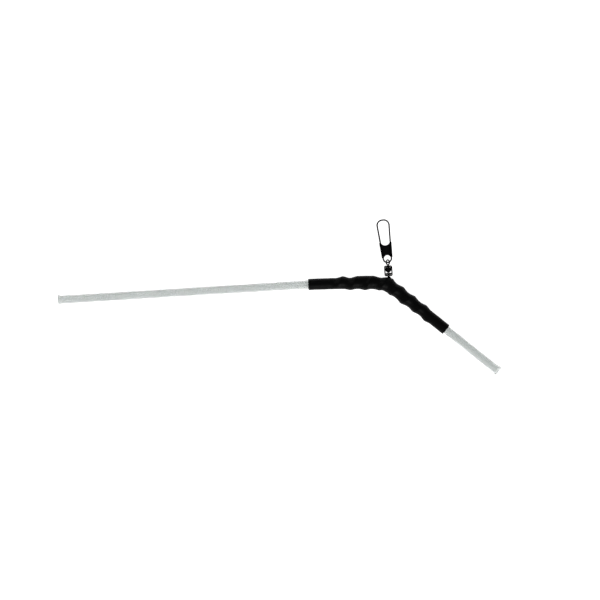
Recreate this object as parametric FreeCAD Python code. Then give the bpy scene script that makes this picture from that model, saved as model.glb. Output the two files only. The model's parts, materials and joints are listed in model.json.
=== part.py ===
"""Curved anti-tangle boom with a snap swivel, for feeder and ledger fishing rigs.

A clear tube with one elbow carries the fishing line in its bore. A spring wire is wound round the
elbow and holds the lower eye of a barrel swivel; a heat-shrink sleeve covers the wire. The swivel
carries a safety snap that takes the lead or feeder.

Millimetres and degrees. The tube lies in the XY plane. The origin is on the bore's axis, where the
straight run of the long arm ends; the long arm points along -X and the swivel along +Y.
"""

import FreeCAD, Part
import math
import os

from FreeCAD import Vector

# Boom tube
TUBE_OD = 3.6
TUBE_WALL = 0.5
LONG_ARM = 100.7  # straight run, from the mouth to the origin
SHORT_ARM = 54.9  # straight run, from the elbow to the mouth
SET_RADIUS = 422.0  # slight set of the tube between the long arm and the elbow
SET_ANGLE = 4.75
ELBOW_RADIUS = 14.0
ELBOW_ANGLE = 37.25
LIP_LENGTH = 1.3  # heat-formed lip at each mouth, which keeps the line from chafing
LONG_LIP_OD = 4.2
SHORT_LIP_OD = 4.5
LIP_RIM = 0.3  # radius of the lip's rounded edge
MOUTH_FLARE = 0.3  # how much the bore's radius opens at the mouth

# Anchor wire, wound left-handed round the elbow
ANCHOR_WIRE = 0.5
ANCHOR_ANGLE = 16.8  # how far round the elbow the wire holds the swivel
ANCHOR_PITCH = 6.25
TURNS_BEFORE = 3.25  # turns on the long arm's side of the swivel
TURNS_AFTER = 3.5
ANCHOR_GAP = 0.03  # between the wire and the tube
ANCHOR_STANDOFF = 0.4  # how far the last turns before the swivel lift off the tube's outer side
ARCH_SPREAD = 42.0  # half-width, round the tube, of the arch that holds the swivel's eye

# Heat-shrink sleeve
SLEEVE_WALL = 0.5
SLEEVE_GAP = 0.04  # between the sleeve and the tube
SLEEVE_OVER_WIRE = 0.1
SLEEVE_LONG_SIDE = 33.4  # from the swivel to the sleeve's end on the long arm
SLEEVE_SHORT_SIDE = 31.5
SLEEVE_RAMP = 1.8  # length of the rise from the close-fitting end to the wound part
SLEEVE_STEP = 4.0  # angle between the sections that follow the elbow
SET_SECTIONS = 6  # sections that follow the set
SLOT_LENGTH = 4.6  # opening for the swivel's eye
SLOT_WIDTH = 1.7

# Barrel swivel
EYE_WIRE = 0.55
LOWER_EYE_OD = 2.0
UPPER_EYE_OD = 2.6
UPPER_EYE_TURN = 50.0  # turn of the upper eye about the swivel's axis, to link with the snap
BARREL_OD = 3.5
BARREL_LENGTH = 4.55
BARREL_END_OD = 2.1
BARREL_END_WALL = 0.6
BARREL_ARM = 0.5  # thickness of the two arms left beside the barrel's windows
STEM_OD = 0.9
STEM_GAP = 0.05  # radial running clearance of a stem in the barrel's end
HEAD_GAP = 0.06  # radial clearance of the heads in the barrel
LOWER_HEAD = 0.75  # thickness of the flat head inside the barrel
UPPER_HEAD = 1.65  # length of the upper head's round part, before its cone
CONE_TIP_OD = 0.7
END_PLAY = 0.05  # between an eye, the barrel's end and the stem's head

# Safety snap
SNAP_WIRE = 0.65
SNAP_LENGTH = 18.1  # between the wire's centres, bottom of the small loop to the crown
SNAP_LEAN = 3.8  # the snap leans this much from the swivel's axis, towards the long arm
SMALL_LOOP_RADIUS = 1.73
CROWN_RADIUS = 2.53
CROWN_FLAT = 0.6  # straight bit of wire at the crown, which twists as the snap opens
PLATE_THICKNESS = 0.2
PLATE_GAP = 0.02
PLATE_LOW = 2.1  # span of the plate's folded edges along the snap
PLATE_HIGH = 8.5
PLATE_TOP_HOLLOW = 2.1  # radius of the hollow in the plate's upper edge
PLATE_TOP_DEPTH = 7.3  # where that hollow is deepest
PLATE_ARCH = 1.45  # radius of the arch in the plate's lower edge
PLATE_ARCH_TOP = 3.1
CRIMP_END = 4.9  # end of the fixed wire inside the plate
GUTTER_START = 5.2
WIRE_PLAY = 0.47  # slack of the snap's wire in the swivel's upper eye
ANCHOR_PLAY = 0.05  # slack of the lower eye on the anchor wire
EYE_SWEEP_GAP = 0.12  # room for the lower eye to swing between the anchor wire and the tube

UP = Vector(0, 0, 1)
TUBE_R = TUBE_OD / 2
BORE_R = TUBE_R - TUBE_WALL
SET_LENGTH = SET_RADIUS * math.radians(SET_ANGLE)
ELBOW_LENGTH = ELBOW_RADIUS * math.radians(ELBOW_ANGLE)
ANCHOR_STATION = SET_LENGTH + ELBOW_RADIUS * math.radians(ANCHOR_ANGLE)
COIL_START = ANCHOR_STATION - TURNS_BEFORE * ANCHOR_PITCH
COIL_END = ANCHOR_STATION + TURNS_AFTER * ANCHOR_PITCH
ANCHOR_R = ANCHOR_WIRE / 2
EYE_R = EYE_WIRE / 2
SNAP_R = SNAP_WIRE / 2


# The tube's axis -------------------------------------------------------------------------------


def turn_right(start, heading, radius, length):
    """Where an arc to the right ends: its point, its heading and the arc's centre."""
    centre = start + Vector(math.sin(heading), -math.cos(heading), 0) * radius
    end_heading = heading - length / radius
    end = centre + Vector(-math.sin(end_heading), math.cos(end_heading), 0) * radius
    return end, end_heading, centre


def axis_at(s):
    """Point on the axis and heading in radians, at arc length s past the origin."""
    start, heading = Vector(0, 0, 0), 0.0
    if s <= 0:
        return Vector(s, 0, 0), heading
    for radius, length in ((SET_RADIUS, SET_LENGTH), (ELBOW_RADIUS, ELBOW_LENGTH)):
        if s <= length:
            end, end_heading, _ = turn_right(start, heading, radius, s)
            return end, end_heading
        start, heading, _ = turn_right(start, heading, radius, length)
        s -= length
    return start + along(heading) * s, heading


def along(heading):
    return Vector(math.cos(heading), math.sin(heading), 0)


def outward(heading):
    """Unit vector to the outer side of the elbow."""
    return Vector(-math.sin(heading), math.cos(heading), 0)


def round_axis(s, turn, radius):
    """Point at a radius from the axis; turn is measured from the outer side towards +Z."""
    centre, heading = axis_at(s)
    return centre + outward(heading) * (radius * math.cos(turn)) + UP * (radius * math.sin(turn))


# Small shapes ----------------------------------------------------------------------------------


def disc(centre, normal, radius, hole=0.0):
    full = Part.Face(Part.Wire(Part.makeCircle(radius, centre, normal)))
    if not hole:
        return full
    return full.cut(Part.Face(Part.Wire(Part.makeCircle(hole, centre, normal)))).Faces[0]


def rod(start, end, radius):
    return Part.makeCylinder(radius, (end - start).Length, start, end - start)


def bend(centre, normal, start, angle, radius):
    """Round bar bent about centre, from start, by angle degrees about normal."""
    spoke = start - centre
    return disc(start, normal.cross(spoke), radius).revolve(centre, normal, angle)


def joined(shapes):
    whole = shapes[0].multiFuse(shapes[1:]).removeSplitter()
    return whole.Solids[0] if len(whole.Solids) == 1 else whole


def turned(profile, start, direction):
    """Revolves a closed outline of (distance, radius) points and arcs about a line."""
    across = UP if abs(direction.z) < 0.9 else Vector(1, 0, 0)

    def place(point):
        return start + direction * point[0] + across * point[1]

    edges = []
    last = profile[0]
    for item in profile[1:]:
        if len(item) == 2:
            edges.append(Part.makeLine(place(last), place(item)))
            last = item
        else:
            via, end = item[:2], item[2:]
            edges.append(Part.Arc(place(last), place(via), place(end)).toShape())
            last = end
    return Part.Face(Part.Wire(edges)).revolve(start, direction, 360)


# Boom tube -------------------------------------------------------------------------------------


def lip(start, direction, lip_od):
    """Flared mouth of the tube, from the end of its straight run."""
    lip_r = lip_od / 2
    rim = min(LIP_RIM, 0.4 * LIP_LENGTH, 0.8 * (lip_r - BORE_R - MOUTH_FLARE))
    shoulder = LIP_LENGTH - 2 * rim
    corner = rim * (1 - math.sqrt(0.5))
    return turned(
        [
            (0, BORE_R),
            (0, TUBE_R),
            (0.6 * shoulder, TUBE_R + 0.25 * (lip_r - TUBE_R), shoulder, lip_r - 0.02),
            (LIP_LENGTH - rim, lip_r),
            (LIP_LENGTH - corner, lip_r - corner, LIP_LENGTH, lip_r - rim),
            (LIP_LENGTH, BORE_R + MOUTH_FLARE),
            (0.55 * LIP_LENGTH, BORE_R + 0.25 * MOUTH_FLARE, 0, BORE_R),
        ],
        start,
        direction,
    )


def boom_long_arm():
    """Straight run up to the origin, with its lip."""
    x_axis = Vector(1, 0, 0)
    foot = x_axis * (LIP_LENGTH - LONG_ARM)
    run = disc(foot, x_axis, TUBE_R, BORE_R).extrude(-foot)
    return joined([run, lip(foot, -x_axis, LONG_LIP_OD)])


def boom_elbow():
    """The slight set and the elbow, between the two straight runs."""
    runs = []
    point, heading = Vector(0, 0, 0), 0.0
    for radius, length, angle in (
        (SET_RADIUS, SET_LENGTH, SET_ANGLE),
        (ELBOW_RADIUS, ELBOW_LENGTH, ELBOW_ANGLE),
    ):
        end, end_heading, centre = turn_right(point, heading, radius, length)
        ring = disc(point, along(heading), TUBE_R, BORE_R)
        runs.append(ring.revolve(centre, -UP, angle))
        point, heading = end, end_heading
    return joined(runs)


def boom_short_arm():
    """Straight run past the elbow, with its lip."""
    point, heading = axis_at(SET_LENGTH + ELBOW_LENGTH)
    way = along(heading)
    run = way * (SHORT_ARM - LIP_LENGTH)
    tube = disc(point, way, TUBE_R, BORE_R).extrude(run)
    return joined([tube, lip(point + run, way, SHORT_LIP_OD)])


# Anchor wire -----------------------------------------------------------------------------------


def smooth(share):
    share = min(1.0, max(0.0, share))
    return share * share * (3 - 2 * share)


def arch_height():
    """Lift of the arch over a plain turn, so that the lower eye can swing under it."""
    return EYE_WIRE + ANCHOR_PLAY + EYE_SWEEP_GAP - ANCHOR_GAP


def standoff_at(s):
    """Lift of a turn off the tube's outer side: grows towards the swivel, and ends past it."""
    if s > ANCHOR_STATION:
        return ANCHOR_STANDOFF * smooth(1 - (s - ANCHOR_STATION) / ANCHOR_PITCH)
    last_turn = ANCHOR_STATION - ANCHOR_PITCH
    return ANCHOR_STANDOFF * min(1.0, (s - COIL_START) / (last_turn - COIL_START))


def wire_radius_at(s):
    """Distance of the anchor wire's centre from the tube's axis."""
    turn = 2 * math.pi * (s - ANCHOR_STATION) / ANCHOR_PITCH
    lift = standoff_at(s) * (1 + math.cos(turn)) / 2
    arch = math.exp(-((math.degrees(turn) / ARCH_SPREAD) ** 2))
    plain = TUBE_R + ANCHOR_GAP + ANCHOR_R
    return plain + lift * (1 - arch) + arch_height() * arch


def anchor_point(s):
    """The wire turns from the outer side over the back to the inner side as s grows."""
    turn = -2 * math.pi * (s - ANCHOR_STATION) / ANCHOR_PITCH
    return round_axis(s, turn, wire_radius_at(s))


def anchor_wire():
    steps_per_turn = 24
    count = int(round((TURNS_BEFORE + TURNS_AFTER) * steps_per_turn))
    step = (COIL_END - COIL_START) / count
    line = Part.BSplineCurve()
    line.interpolate([anchor_point(COIL_START + step * i) for i in range(count + 1)])
    path = Part.Wire(line.toShape())
    start = line.value(line.FirstParameter)
    section = Part.Wire(Part.makeCircle(ANCHOR_R, start, line.tangent(line.FirstParameter)[0]))
    return path.makePipeShell([section], True, True)


# Heat-shrink sleeve ----------------------------------------------------------------------------


def sleeve_stations():
    """Sections of the sleeve's bore: (station, radius, shift to the elbow's outer side)."""
    close = TUBE_R + SLEEVE_GAP
    over_coil = TUBE_R + ANCHOR_GAP + ANCHOR_WIRE + SLEEVE_OVER_WIRE
    arch_reach = wire_radius_at(ANCHOR_STATION) + ANCHOR_R + SLEEVE_OVER_WIRE
    shift = (arch_reach - over_coil) / 2
    over_arch = (arch_reach + over_coil) / 2
    margin = ANCHOR_R + SLEEVE_OVER_WIRE
    knots = [
        (ANCHOR_STATION - SLEEVE_LONG_SIDE, close, 0.0),
        (COIL_START - margin - SLEEVE_RAMP, close, 0.0),
        (COIL_START - margin, over_coil, 0.0),
        (ANCHOR_STATION - 1.25 * ANCHOR_PITCH, over_arch, shift),
        (ANCHOR_STATION + 0.5 * ANCHOR_PITCH, over_arch, shift),
        (ANCHOR_STATION + ANCHOR_PITCH, over_coil, 0.0),
        (COIL_END + margin, over_coil, 0.0),
        (COIL_END + margin + SLEEVE_RAMP, close, 0.0),
        (ANCHOR_STATION + SLEEVE_SHORT_SIDE, close, 0.0),
    ]
    steps = int(math.ceil(ELBOW_ANGLE / SLEEVE_STEP))
    bends = [SET_LENGTH * i / SET_SECTIONS for i in range(SET_SECTIONS)]
    bends += [SET_LENGTH + ELBOW_LENGTH * i / steps for i in range(steps + 1)]
    stations = list(knots)
    for s in bends:
        for low, high in zip(knots, knots[1:]):
            if low[0] < s < high[0]:
                share = (s - low[0]) / (high[0] - low[0])
                stations.append((s,) + tuple(a + (b - a) * share for a, b in zip(low[1:], high[1:])))
    return sorted(stations)


def sleeve_loft(extra):
    """Ruled solid through the sleeve's sections, each widened by extra."""
    rings = []
    for s, radius, shift in sleeve_stations():
        centre, heading = axis_at(s)
        middle = centre + outward(heading) * shift
        rings.append(Part.Wire(Part.makeCircle(radius + extra, middle, along(heading))))
    return Part.makeLoft(rings, True, True)


def shrink_sleeve():
    return sleeve_loft(SLEEVE_WALL).cut(sleeve_loft(0.0)).cut(sleeve_slot())


def sleeve_slot():
    """Obround prism through the sleeve's outer side, where the wire holds the swivel."""
    centre, heading = axis_at(ANCHOR_STATION)
    way, out = along(heading), outward(heading)
    low, high = TUBE_R - 0.5, TUBE_R + 6
    half = (SLOT_LENGTH - SLOT_WIDTH) / 2
    r = SLOT_WIDTH / 2

    def at(a, z):
        return centre + out * low + way * a + UP * z

    outline = Part.Wire([
        Part.makeLine(at(-half, -r), at(half, -r)),
        Part.Arc(at(half, -r), at(half + r, 0), at(half, r)).toShape(),
        Part.makeLine(at(half, r), at(-half, r)),
        Part.Arc(at(-half, r), at(-half - r, 0), at(-half, -r)).toShape(),
    ])
    return Part.Face(outline).extrude(out * (high - low))


# Barrel swivel ---------------------------------------------------------------------------------

HINGE = anchor_point(ANCHOR_STATION)  # where the anchor wire crosses the tube's outer side
ALONG_Y = Vector(0, 1, 0)
LOWER_EYE_CENTRE = HINGE + ALONG_Y * (LOWER_EYE_OD / 2 - EYE_WIRE - ANCHOR_R - ANCHOR_PLAY)
BARREL_START = LOWER_EYE_CENTRE + ALONG_Y * (LOWER_EYE_OD / 2 + END_PLAY)
BARREL_END = BARREL_START + ALONG_Y * BARREL_LENGTH
UPPER_EYE_CENTRE = BARREL_END + ALONG_Y * (UPPER_EYE_OD / 2 + END_PLAY)
SNAP_ORIGIN = UPPER_EYE_CENTRE + ALONG_Y * (UPPER_EYE_OD / 2 - EYE_WIRE - SNAP_R - WIRE_PLAY)


def swivel_barrel():
    """Barrel with a window through it; its ends close on the stems of the two eyes."""
    end_r, mid_r = BARREL_END_OD / 2, BARREL_OD / 2
    shoulder, length = 0.28 * BARREL_LENGTH, BARREL_LENGTH
    shoulder_r = mid_r - 0.08
    bulge = end_r + 0.72 * (shoulder_r - end_r)
    hole = STEM_OD / 2 + STEM_GAP
    outside = turned(
        [
            (0, hole),
            (0, end_r),
            (0.4 * shoulder, bulge, shoulder, shoulder_r),
            (length / 2, mid_r, length - shoulder, shoulder_r),
            (length - 0.4 * shoulder, bulge, length, end_r),
            (length, hole),
            (0, hole),
        ],
        BARREL_START,
        ALONG_Y,
    )
    low, high = BARREL_START.y + BARREL_END_WALL, BARREL_END.y - BARREL_END_WALL
    half = mid_r - BARREL_ARM
    corner = Vector(BARREL_START.x - half, low, -mid_r)
    window = Part.makeBox(2 * half, high - low, 2 * mid_r, corner)
    return outside.cut(window)


def eye_ring(centre, outer_od, turn):
    """Ring of an eye; turn is about the swivel's axis, from the plane of the boom."""
    normal = Vector(math.sin(math.radians(turn)), 0, -math.cos(math.radians(turn)))
    return Part.makeTorus((outer_od - EYE_WIRE) / 2, EYE_R, centre, normal)


def eye_stem(centre, outer_od, towards):
    """Stem from the ring's wire through the barrel's end, and where its head starts."""
    reach = outer_od / 2 + END_PLAY + BARREL_END_WALL + END_PLAY
    neck = centre + towards * (outer_od / 2 - EYE_WIRE * 0.55)
    head_start = centre + towards * reach
    return rod(neck, head_start + towards * (LOWER_HEAD / 2), STEM_OD / 2), head_start


def head_radius():
    return BARREL_OD / 2 - BARREL_ARM - HEAD_GAP


def swivel_lower_eye():
    """Ring that hangs on the anchor wire, with a flat head inside the barrel."""
    ring = eye_ring(LOWER_EYE_CENTRE, LOWER_EYE_OD, 0)
    stem, head_start = eye_stem(LOWER_EYE_CENTRE, LOWER_EYE_OD, ALONG_Y)
    head = rod(head_start, head_start + ALONG_Y * LOWER_HEAD, head_radius())
    return joined([ring, stem, head])


def swivel_upper_eye():
    """Ring that takes the snap, with a long head that ends in a cone inside the barrel."""
    ring = eye_ring(UPPER_EYE_CENTRE, UPPER_EYE_OD, UPPER_EYE_TURN)
    stem, head_start = eye_stem(UPPER_EYE_CENTRE, UPPER_EYE_OD, -ALONG_Y)
    drum_end = head_start - ALONG_Y * UPPER_HEAD
    lower_head_end = BARREL_START.y + BARREL_END_WALL + END_PLAY + LOWER_HEAD
    cone_length = drum_end.y - lower_head_end - END_PLAY
    drum = rod(head_start, drum_end, head_radius())
    cone = Part.makeCone(head_radius(), CONE_TIP_OD / 2, cone_length, drum_end, -ALONG_Y)
    return joined([ring, stem, drum, cone])


# Safety snap -----------------------------------------------------------------------------------

# The crown is two quarter arcs with a short flat between them, so its arcs sit off the middle.
CROWN_ARC_X = CROWN_FLAT / 2
CROWN_ARC_R = CROWN_RADIUS - CROWN_ARC_X
CROWN_ARC_Y = SNAP_LENGTH - CROWN_ARC_R


def leg_slope():
    """Angle of a leg from the snap's middle line, tangent to the small loop and the crown."""
    rise = CROWN_ARC_Y - SMALL_LOOP_RADIUS
    run = CROWN_ARC_X
    reach = math.hypot(rise, run)
    lean = math.atan2(run, rise)
    return lean + math.asin((CROWN_ARC_R - SMALL_LOOP_RADIUS) / reach)


def leg_x(y):
    """Distance of a leg's centre from the snap's middle line, at a height."""
    slope = leg_slope()
    foot_x = SMALL_LOOP_RADIUS * math.cos(slope)
    foot_y = SMALL_LOOP_RADIUS * (1 - math.sin(slope))
    return foot_x + (y - foot_y) * math.tan(slope)


def on_snap(x, y, z=0.0):
    """Point given along the snap's own axes, which lean in the plane of the boom."""
    lean = math.radians(SNAP_LEAN)
    return SNAP_ORIGIN + Vector(
        x * math.cos(lean) - y * math.sin(lean), x * math.sin(lean) + y * math.cos(lean), z)


def crown_quarter(side):
    """Arc and half of the crown's flat on one side: +1 is the fixed side, -1 the gate."""
    slope = leg_slope()
    centre = on_snap(side * CROWN_ARC_X, CROWN_ARC_Y)
    start = on_snap(side * (CROWN_ARC_X + CROWN_ARC_R * math.cos(slope)),
                    CROWN_ARC_Y - CROWN_ARC_R * math.sin(slope))
    arc = bend(centre, UP * side, start, 90 + math.degrees(slope), SNAP_R)
    gap = 0.01
    flat = rod(on_snap(side * CROWN_ARC_X, SNAP_LENGTH), on_snap(side * gap, SNAP_LENGTH), SNAP_R)
    return [arc, flat], start


def snap_wire():
    """Fixed part of the wire: crimped end, small loop, right leg and half of the crown."""
    slope = leg_slope()
    foot_x = SMALL_LOOP_RADIUS * math.cos(slope)
    foot_y = SMALL_LOOP_RADIUS * (1 - math.sin(slope))
    left, right = on_snap(-foot_x, foot_y), on_snap(foot_x, foot_y)
    loop = bend(on_snap(0, SMALL_LOOP_RADIUS), UP, left, 180 - 2 * math.degrees(slope), SNAP_R)
    crown, top = crown_quarter(1)
    stub = rod(left, on_snap(-leg_x(CRIMP_END), CRIMP_END), SNAP_R)
    return joined([stub, loop, rod(right, top, SNAP_R)] + crown)


def snap_gate():
    """Free part of the wire: half of the crown and the leg that rests in the gutter."""
    crown, top = crown_quarter(-1)
    foot = on_snap(-leg_x(GUTTER_START + 0.3), GUTTER_START + 0.3)
    return joined(crown + [rod(top, foot, SNAP_R)])


def fold(side, low, high, closed):
    """Folded edge of the plate round a leg: a closed crimp, or a gutter open at the front."""
    inner = SNAP_R + PLATE_GAP
    outer = inner + PLATE_THICKNESS
    start, end = on_snap(side * leg_x(low), low), on_snap(side * leg_x(high), high)
    way = (end - start).normalize()
    out = way.cross(UP) * side

    def at(angle, radius):
        a = math.radians(angle)
        return start + out * (radius * math.cos(a)) + UP * (radius * math.sin(a))

    last = 175 if closed else 0
    middle = (last - 90) / 2
    edges = [
        Part.Arc(at(-90, inner), at(middle, inner), at(last, inner)).toShape(),
        Part.Arc(at(-90, outer), at(middle, outer), at(last, outer)).toShape(),
        Part.makeLine(at(-90, inner), at(-90, outer)),
    ]
    if closed:
        edges.append(Part.makeLine(at(last, inner), at(last, outer)))
    else:
        rise = UP * SNAP_R
        edges += [
            Part.makeLine(at(0, inner), at(0, inner) + rise),
            Part.makeLine(at(0, inner) + rise, at(0, outer) + rise),
            Part.makeLine(at(0, outer) + rise, at(0, outer)),
        ]
    outline = Part.Wire(Part.__sortEdges__(edges))
    return Part.Face(outline).extrude(end - start)


def snap_plate():
    """Pressed plate behind the legs, folded round both of them."""
    back = -(SNAP_R + PLATE_GAP + PLATE_THICKNESS)
    corners = [
        on_snap(side * leg_x(y), y, back)
        for side, y in ((-1, PLATE_LOW), (1, PLATE_LOW), (1, PLATE_HIGH), (-1, PLATE_HIGH))
    ]
    sheet = Part.Face(Part.makePolygon(corners + corners[:1])).extrude(UP * PLATE_THICKNESS)
    hollow_y = PLATE_TOP_DEPTH + PLATE_TOP_HOLLOW
    for y, radius in (
        (hollow_y, PLATE_TOP_HOLLOW),
        (PLATE_ARCH_TOP - PLATE_ARCH, PLATE_ARCH),
    ):
        low = on_snap(0, y, back - 1)
        sheet = sheet.cut(rod(low, low + UP * 3, radius))
    return joined([
        sheet,
        fold(1, PLATE_LOW, PLATE_HIGH, True),
        fold(-1, PLATE_LOW, CRIMP_END, True),
        fold(-1, GUTTER_START, PLATE_HIGH, False),
    ])


# Build -----------------------------------------------------------------------------------------


def parts():
    return {
        "boom_long_arm": boom_long_arm(),
        "boom_elbow": boom_elbow(),
        "boom_short_arm": boom_short_arm(),
        "anchor_wire": anchor_wire(),
        "shrink_sleeve": shrink_sleeve(),
        "swivel_lower_eye": swivel_lower_eye(),
        "swivel_barrel": swivel_barrel(),
        "swivel_upper_eye": swivel_upper_eye(),
        "snap_wire": snap_wire(),
        "snap_gate": snap_gate(),
        "snap_plate": snap_plate(),
    }


def main():
    os.makedirs("parts", exist_ok=True)
    for name, shape in parts().items():
        box = shape.BoundBox
        print(
            f"{name}: {len(shape.Solids)} solid, valid {shape.isValid()}, {shape.Volume:.2f} mm3, "
            f"x {box.XMin:.2f}..{box.XMax:.2f} y {box.YMin:.2f}..{box.YMax:.2f} "
            f"z {box.ZMin:.2f}..{box.ZMax:.2f}"
        )
        shape.exportStep(f"parts/{name}.step")
    print(f"hinge {HINGE}, snap origin {SNAP_ORIGIN}, upper eye {UPPER_EYE_CENTRE}")


main()
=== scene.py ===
# %% [markdown]
# # An anti-tangle fishing boom, surface by surface
#
# The real object is a clear plastic tube that the fishing line runs through. At its elbow a spring
# wire is wound round the tube, a black heat-shrink sleeve is drawn down over the winding, and a
# barrel swivel with a safety snap comes out of a slot in the sleeve.
#
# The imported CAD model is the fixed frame. It knows every size, place and hinge, so this file asks
# it for those and only makes what a close look needs: the sleeve draped over each turn of wire, the
# drawn and plated metal, the folded sheet of the snap, and the clear tube.

# %% Load the frame
import json
import math

import bmesh
import bpy
import numpy as np
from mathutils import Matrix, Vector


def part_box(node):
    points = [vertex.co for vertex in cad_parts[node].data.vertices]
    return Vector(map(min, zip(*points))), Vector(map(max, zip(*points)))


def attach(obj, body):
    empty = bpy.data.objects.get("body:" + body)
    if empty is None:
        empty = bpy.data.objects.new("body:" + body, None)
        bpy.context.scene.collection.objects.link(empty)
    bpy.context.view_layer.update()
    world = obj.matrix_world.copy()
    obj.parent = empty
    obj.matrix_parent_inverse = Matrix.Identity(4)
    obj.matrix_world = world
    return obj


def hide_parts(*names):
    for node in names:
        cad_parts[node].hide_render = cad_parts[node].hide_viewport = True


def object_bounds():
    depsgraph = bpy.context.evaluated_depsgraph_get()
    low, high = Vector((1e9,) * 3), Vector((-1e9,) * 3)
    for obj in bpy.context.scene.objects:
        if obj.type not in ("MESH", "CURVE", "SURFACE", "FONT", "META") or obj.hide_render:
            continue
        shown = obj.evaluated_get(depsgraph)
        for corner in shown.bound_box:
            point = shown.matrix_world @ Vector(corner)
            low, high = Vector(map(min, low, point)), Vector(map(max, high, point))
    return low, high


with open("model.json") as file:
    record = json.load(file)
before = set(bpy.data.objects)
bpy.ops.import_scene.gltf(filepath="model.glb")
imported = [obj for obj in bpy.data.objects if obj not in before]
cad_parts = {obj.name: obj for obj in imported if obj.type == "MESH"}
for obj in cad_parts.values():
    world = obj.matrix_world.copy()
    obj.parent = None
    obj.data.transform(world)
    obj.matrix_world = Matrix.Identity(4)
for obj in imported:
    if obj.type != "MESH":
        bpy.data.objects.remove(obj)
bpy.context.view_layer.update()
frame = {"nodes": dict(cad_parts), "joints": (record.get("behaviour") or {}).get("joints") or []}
MM = 0.001
joints = {joint["name"]: joint for joint in frame["joints"]}

# %% [markdown]
# ## One helper for every surface
#
# A tube, a ring, a folded sheet and a shrunk sleeve all have one thing in common: a point on them is
# given by two numbers, one along and one across. So each shape below is an array of points in rows
# and columns, worked out all at once, and one helper turns the rows and columns into faces. It
# closes the last row to the first, or the last column to the first, where the shape goes round.

# %% Rows and columns of points to a mesh
def surface(name, points, rows_close=False, columns_close=True, flow=None):
    """Mesh of four-sided faces between neighbouring rows and columns of points, in millimetres.

    flow, if given, is a vector for each point that runs with the shape: (cos, sin, along).
    """
    rows, columns = points.shape[:2]
    i = np.arange(rows if rows_close else rows - 1)[:, None]
    j = np.arange(columns if columns_close else columns - 1)[None, :]
    next_i, next_j = (i + 1) % rows, (j + 1) % columns
    corners = [i * columns + j, i * columns + next_j, next_i * columns + next_j, next_i * columns + j]
    faces = np.stack(np.broadcast_arrays(*corners), axis=-1).reshape(-1, 4)
    mesh = bpy.data.meshes.new(name)
    mesh.vertices.add(rows * columns)
    mesh.vertices.foreach_set("co", (points.reshape(-1, 3) * MM).astype(np.float32).ravel())
    mesh.loops.add(faces.size)
    mesh.loops.foreach_set("vertex_index", faces.astype(np.int32).ravel())
    mesh.polygons.add(len(faces))
    mesh.polygons.foreach_set("loop_start", np.arange(0, faces.size, 4, dtype=np.int32))
    mesh.update(calc_edges=True)
    if flow is not None:
        layer = mesh.attributes.new("flow", "FLOAT_VECTOR", "POINT")
        layer.data.foreach_set("vector", flow.reshape(-1, 3).astype(np.float32).ravel())
    return mesh


def piece(name, meshes, body=None):
    """One object from several closed meshes: poles and seams are merged, and faces turned outwards."""
    made = bmesh.new()
    for mesh in meshes:
        made.from_mesh(mesh)
        bpy.data.meshes.remove(mesh)
    bmesh.ops.remove_doubles(made, verts=made.verts, dist=0.0005 * MM)
    bmesh.ops.recalc_face_normals(made, faces=made.faces)
    data = bpy.data.meshes.new(name)
    made.to_mesh(data)
    made.free()
    data.polygons.foreach_set("use_smooth", np.ones(len(data.polygons), dtype=bool))
    made_object = bpy.data.objects.new(name, data)
    bpy.context.scene.collection.objects.link(made_object)
    if body:
        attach(made_object, body)
    print(f"{name}: {len(data.vertices)} points, {len(data.polygons)} faces")
    return made_object


def smooth(share):
    """0 below 0, 1 above 1, and an S-curve (3t^2 - 2t^3) between."""
    t = np.clip(share, 0, 1)
    return t * t * (3 - 2 * t)


def around(count):
    """Angles of count columns that go once round, without repeating the first."""
    return np.arange(count) * 2 * math.pi / count


# %% [markdown]
# ## The line that everything follows
#
# The tube's middle line lies flat. It is straight for the whole long arm, has a very slight set, then
# turns sharply at the elbow and is straight again. All four stretches are arcs or lines, so one
# formula gives a point at any distance along it: the heading is how much of each arc has been
# passed, and the position is the sum of the chord of each stretch.

# %% The tube's middle line
TUBE_OD = 3.6
BORE = 2.6
LONG_ARM = -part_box("boom_long_arm")[0].x / MM
SHORT_ARM = 54.9
SET_RADIUS, SET_ANGLE = 422.0, math.radians(4.75)
ELBOW_RADIUS, ELBOW_ANGLE = 14.0, math.radians(37.25)
SET_END = SET_RADIUS * SET_ANGLE
ELBOW_END = SET_END + ELBOW_RADIUS * ELBOW_ANGLE
TUBE_END = ELBOW_END + SHORT_ARM


def middle_line(s):
    """Positions and headings at distances s past the origin, in the flat plane.

    On an arc that starts at point P with heading h, the position is
    P + R (sin h - sin(h - a), cos(h - a) - cos h) for a right turn by the angle a.
    """
    s = np.asarray(s, float)
    x, y = np.minimum(s, 0.0), np.zeros_like(s)
    heading = np.zeros_like(s)
    for start, radius, angle in ((0.0, SET_RADIUS, SET_ANGLE), (SET_END, ELBOW_RADIUS, ELBOW_ANGLE)):
        turned = np.clip((s - start) / radius, 0, angle)
        x = x + radius * (np.sin(heading) - np.sin(heading - turned))
        y = y + radius * (np.cos(heading - turned) - np.cos(heading))
        heading = heading - turned
    beyond = np.maximum(s - ELBOW_END, 0.0)
    return x + beyond * np.cos(heading), y + beyond * np.sin(heading), heading


def round_line(s, turn, radius):
    """Points at a radius from the line. turn is 0 on the elbow's outer side and grows towards +Z."""
    x, y, heading = middle_line(s)
    out = radius * np.cos(turn)
    across = radius * np.sin(turn)
    return np.stack([x - np.sin(heading) * out, y + np.cos(heading) * out, across + 0 * x], axis=-1)


tip_x, tip_y, _ = middle_line(TUBE_END)
print(f"developed length {LONG_ARM + TUBE_END:.1f} mm, short tip at {tip_x:.1f}, {tip_y:.1f}")

# %% [markdown]
# ## The clear tube
#
# The tube is one extrusion, cut to length, bent warm at the elbow, and flared at both mouths so that
# nothing chafes the line. It could be a curve with a bevel, but that has no wall and no lip. Here one
# closed outline (outside wall, rounded nose, inside wall, the other nose) is carried round the middle
# line, so the wall is real and light bends through both of its faces.

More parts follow.
